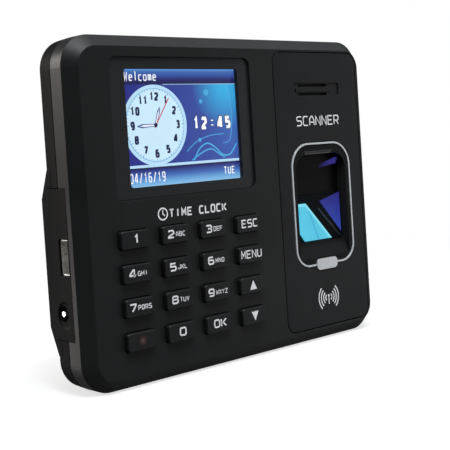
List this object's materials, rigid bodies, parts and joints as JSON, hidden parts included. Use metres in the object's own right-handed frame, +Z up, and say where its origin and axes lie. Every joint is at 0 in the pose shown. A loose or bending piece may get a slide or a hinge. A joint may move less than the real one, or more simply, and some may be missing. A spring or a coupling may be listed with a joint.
{
  "type": "fingerprint scanner terminal",
  "caption": "Wall-hung fingerprint time terminal: slim two-part case, recessed colour screen, raised key pad, lit finger recess, side USB and power sockets, wall plate.",
  "frame": {"origin": "centre of the four wall-screw holes, on the wall plane at the wall plate's back", "axes": "+X to the viewer's right, +Z up, the front faces -Y"},
  "size_m": [0.1574, 0.0381, 0.1296],
  "materials": {
    "case": "fine moulded texture, black ABS",
    "panel": "fine moulded texture, black ABS",
    "key": "satin black with white printed legends",
    "lens": "clear with a black printed border",
    "window": "clear optical glass",
    "foam": "closed-cell foam",
    "display": "lit colour screen",
    "white_plastic": "white moulded plastic",
    "plated_steel": "bright nickel plate",
    "flex": "amber polyimide film",
    "silicone": "grey silicone",
    "board_green": "green solder mask",
    "screw_steel": "zinc plated",
    "dark_steel": "black oxide",
    "silver": "satin silver plating",
    "cyan_light": "light guide lit cyan",
    "blue_light": "mirror lit blue",
    "inner_black": "black moulded plastic",
    "mesh": "woven speaker cloth",
    "cone": "pressed film cone",
    "copper": "bare copper",
    "zinc_plate": "zinc-plated sheet steel"
  },
  "bodies": {
    "case": {"front_cover": "case", "rear_cover": "case", "screen_lens": "lens", "lcd_gasket": "foam", "lcd_panel": "display", "lcd_backlight": "white_plastic", "lcd_tray": "plated_steel", "lcd_ribbon": "flex", "key_mat": "silicone", "keypad_board": "board_green", "keypad_screws": "screw_steel", "scanner_panel": "panel", "trim_ring": "silver", "trim_badge": "silver", "finger_well": "panel", "sensor_window": "window", "light_guide": "cyan_light", "light_baffle": "inner_black", "sensor_mirror": "blue_light", "sensor_housing": "inner_black", "sensor_lens": "inner_black", "sensor_board": "board_green", "sensor_leds": "white_plastic", "sensor_ribbon": "flex", "speaker_mesh": "mesh", "speaker_frame": "inner_black", "speaker_cone": "cone", "speaker_magnet": "plated_steel", "antenna_board": "board_green", "antenna_coil": "copper", "main_board": "board_green", "board_chips": "inner_black", "board_screws": "screw_steel", "cell_holder": "inner_black", "coin_cell": "plated_steel", "usb_shell": "plated_steel", "usb_tongue": "white_plastic", "dc_jack": "inner_black", "dc_pin": "plated_steel", "case_screws": "dark_steel", "wall_plate": "zinc_plate", "lock_screw": "screw_steel"},
    "key_1_cap": {"key_1": "key"},
    "key_2_cap": {"key_2": "key"},
    "key_3_cap": {"key_3": "key"},
    "key_esc_cap": {"key_esc": "key"},
    "key_4_cap": {"key_4": "key"},
    "key_5_cap": {"key_5": "key"},
    "key_6_cap": {"key_6": "key"},
    "key_menu_cap": {"key_menu": "key"},
    "key_7_cap": {"key_7": "key"},
    "key_8_cap": {"key_8": "key"},
    "key_9_cap": {"key_9": "key"},
    "key_up_cap": {"key_up": "key"},
    "key_power_cap": {"key_power": "key"},
    "key_0_cap": {"key_0": "key"},
    "key_ok_cap": {"key_ok": "key"},
    "key_down_cap": {"key_down": "key"}
  },
  "joints": [
    {"name": "key_1_press", "type": "slide", "parent": "case", "child": "key_1_cap", "axis": [0, 1, 0], "range_m": [0, 0.0012], "stiffness_N_per_m": 400},
    {"name": "key_2_press", "type": "slide", "parent": "case", "child": "key_2_cap", "axis": [0, 1, 0], "range_m": [0, 0.0012], "stiffness_N_per_m": 400},
    {"name": "key_3_press", "type": "slide", "parent": "case", "child": "key_3_cap", "axis": [0, 1, 0], "range_m": [0, 0.0012], "stiffness_N_per_m": 400},
    {"name": "key_esc_press", "type": "slide", "parent": "case", "child": "key_esc_cap", "axis": [0, 1, 0], "range_m": [0, 0.0012], "stiffness_N_per_m": 400},
    {"name": "key_4_press", "type": "slide", "parent": "case", "child": "key_4_cap", "axis": [0, 1, 0], "range_m": [0, 0.0012], "stiffness_N_per_m": 400},
    {"name": "key_5_press", "type": "slide", "parent": "case", "child": "key_5_cap", "axis": [0, 1, 0], "range_m": [0, 0.0012], "stiffness_N_per_m": 400},
    {"name": "key_6_press", "type": "slide", "parent": "case", "child": "key_6_cap", "axis": [0, 1, 0], "range_m": [0, 0.0012], "stiffness_N_per_m": 400},
    {"name": "key_menu_press", "type": "slide", "parent": "case", "child": "key_menu_cap", "axis": [0, 1, 0], "range_m": [0, 0.0012], "stiffness_N_per_m": 400},
    {"name": "key_7_press", "type": "slide", "parent": "case", "child": "key_7_cap", "axis": [0, 1, 0], "range_m": [0, 0.0012], "stiffness_N_per_m": 400},
    {"name": "key_8_press", "type": "slide", "parent": "case", "child": "key_8_cap", "axis": [0, 1, 0], "range_m": [0, 0.0012], "stiffness_N_per_m": 400},
    {"name": "key_9_press", "type": "slide", "parent": "case", "child": "key_9_cap", "axis": [0, 1, 0], "range_m": [0, 0.0012], "stiffness_N_per_m": 400},
    {"name": "key_up_press", "type": "slide", "parent": "case", "child": "key_up_cap", "axis": [0, 1, 0], "range_m": [0, 0.0012], "stiffness_N_per_m": 400},
    {"name": "key_power_press", "type": "slide", "parent": "case", "child": "key_power_cap", "axis": [0, 1, 0], "range_m": [0, 0.0012], "stiffness_N_per_m": 400},
    {"name": "key_0_press", "type": "slide", "parent": "case", "child": "key_0_cap", "axis": [0, 1, 0], "range_m": [0, 0.0012], "stiffness_N_per_m": 400},
    {"name": "key_ok_press", "type": "slide", "parent": "case", "child": "key_ok_cap", "axis": [0, 1, 0], "range_m": [0, 0.0012], "stiffness_N_per_m": 400},
    {"name": "key_down_press", "type": "slide", "parent": "case", "child": "key_down_cap", "axis": [0, 1, 0], "range_m": [0, 0.0012], "stiffness_N_per_m": 400}
  ]
}
